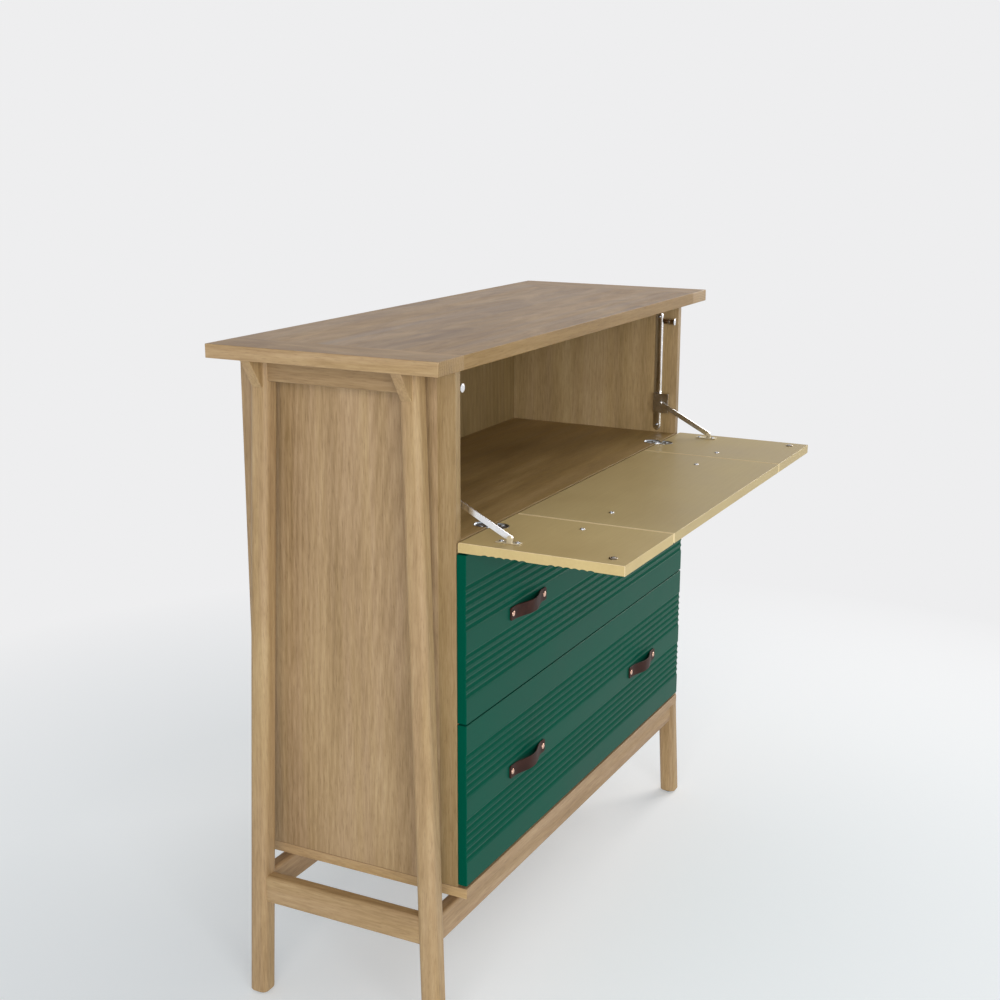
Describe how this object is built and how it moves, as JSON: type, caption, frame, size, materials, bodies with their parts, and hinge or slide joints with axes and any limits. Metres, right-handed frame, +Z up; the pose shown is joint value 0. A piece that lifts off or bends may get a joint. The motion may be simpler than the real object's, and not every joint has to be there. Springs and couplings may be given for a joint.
{
  "type": "writing chest of drawers",
  "caption": "Oak chest hung between splayed legs, with wide grooved green drawers, leather strap pulls and a grooved drop-front writing flap held open by sliding stays.",
  "frame": {"origin": "middle of the floor under the whole outline, with the flap open and the drawers shut", "axes": "+X to the right when facing the front, +Y to the back, +Z up; the drawers open towards -Y"},
  "size_m": [1.1, 0.6456, 1.084],
  "materials": {
    "oak": "oiled oak, satin",
    "top_oak": "oiled oak veneer, satin",
    "panel_oak": "oiled oak veneer, satin",
    "box_wood": "sanded light wood",
    "green_lacquer": "dark green satin lacquer on wood",
    "cream_lacquer": "cream satin lacquer on wood, green on the outer face",
    "leather": "dark brown saddle leather with copper rivets",
    "nickel": "nickel plated, satin",
    "steel": "bright zinc plated",
    "catch_plastic": "light grey moulded plastic"
  },
  "bodies": {
    "cabinet": {"top_board": "top_oak", "bottom_board": "oak", "side_panel_left": "panel_oak", "side_panel_right": "panel_oak", "back_panel": "panel_oak", "desk_shelf": "oak", "front_leg_left": "oak", "front_leg_right": "oak", "rear_leg_left": "oak", "rear_leg_right": "oak", "top_rail_left": "oak", "top_rail_right": "oak", "side_stretcher_left": "oak", "side_stretcher_right": "oak", "front_stretcher": "oak", "rear_stretcher": "oak", "front_bracket_left": "oak", "front_bracket_right": "oak", "rear_bracket_left": "oak", "rear_bracket_right": "oak", "runner_bottom_left": "box_wood", "runner_bottom_right": "box_wood", "runner_top_left": "box_wood", "runner_top_right": "box_wood", "hinge_shelf_cup_left": "nickel", "hinge_shelf_cup_right": "nickel", "stay_rail_left": "steel", "stay_rail_right": "steel", "magnetic_catch_left": "catch_plastic", "magnetic_catch_right": "catch_plastic"},
    "drawer_top": {"drawer_top_front": "green_lacquer", "drawer_top_side_left": "box_wood", "drawer_top_side_right": "box_wood", "drawer_top_back": "box_wood", "drawer_top_bottom": "box_wood", "drawer_top_strap_left": "leather", "drawer_top_strap_right": "leather"},
    "drawer_bottom": {"drawer_bottom_front": "green_lacquer", "drawer_bottom_side_left": "box_wood", "drawer_bottom_side_right": "box_wood", "drawer_bottom_back": "box_wood", "drawer_bottom_bottom": "box_wood", "drawer_bottom_strap_left": "leather", "drawer_bottom_strap_right": "leather"},
    "flap": {"flap_board_left": "cream_lacquer", "flap_board_middle": "cream_lacquer", "flap_board_right": "cream_lacquer", "flap_strap_left": "leather", "flap_strap_right": "leather", "hinge_flap_cup_left": "nickel", "hinge_flap_cup_right": "nickel", "strike_left": "nickel", "strike_right": "nickel", "stay_foot_left": "nickel", "stay_foot_right": "nickel"},
    "stay_arm_left": {"stay_arm_left": "steel"},
    "stay_arm_right": {"stay_arm_right": "steel"},
    "stay_block_left": {"stay_block_left": "nickel"},
    "stay_block_right": {"stay_block_right": "nickel"}
  },
  "joints": [
    {"name": "drawer_top_slide", "type": "slide", "parent": "cabinet", "child": "drawer_top", "axis": [0, -1, 0], "range_m": [0, 0.3]},
    {"name": "drawer_bottom_slide", "type": "slide", "parent": "cabinet", "child": "drawer_bottom", "axis": [0, -1, 0], "range_m": [0, 0.3]},
    {"name": "flap_hinge", "type": "hinge", "parent": "cabinet", "child": "flap", "pos_m": [0, -0.0625, 0.79825], "axis": [-1, 0, 0], "range_deg": [0, 90]},
    {"name": "stay_foot_pivot_left", "type": "hinge", "parent": "flap", "child": "stay_arm_left", "pos_m": [-0.43545, -0.12971, 0.813], "axis": [-1, 0, 0], "range_deg": [-142.36, 0]},
    {"name": "stay_foot_pivot_right", "type": "hinge", "parent": "flap", "child": "stay_arm_right", "pos_m": [0.43545, -0.12971, 0.813], "axis": [-1, 0, 0], "range_deg": [-142.36, 0]},
    {"name": "stay_block_pivot_left", "type": "hinge", "parent": "stay_arm_left", "child": "stay_block_left", "pos_m": [-0.44195, -0.0275, 0.86628], "axis": [-1, 0, 0], "range_deg": [0, 52.36]},
    {"name": "stay_block_pivot_right", "type": "hinge", "parent": "stay_arm_right", "child": "stay_block_right", "pos_m": [0.44195, -0.0275, 0.86628], "axis": [-1, 0, 0], "range_deg": [0, 52.36]}
  ],
  "couplings": [
    {"joint": "stay_foot_pivot_left", "follows": "flap_hinge", "ratio": -1.5817},
    {"joint": "stay_foot_pivot_right", "follows": "flap_hinge", "ratio": -1.5817},
    {"joint": "stay_block_pivot_left", "follows": "flap_hinge", "ratio": 0.58165},
    {"joint": "stay_block_pivot_right", "follows": "flap_hinge", "ratio": 0.58165}
  ]
}
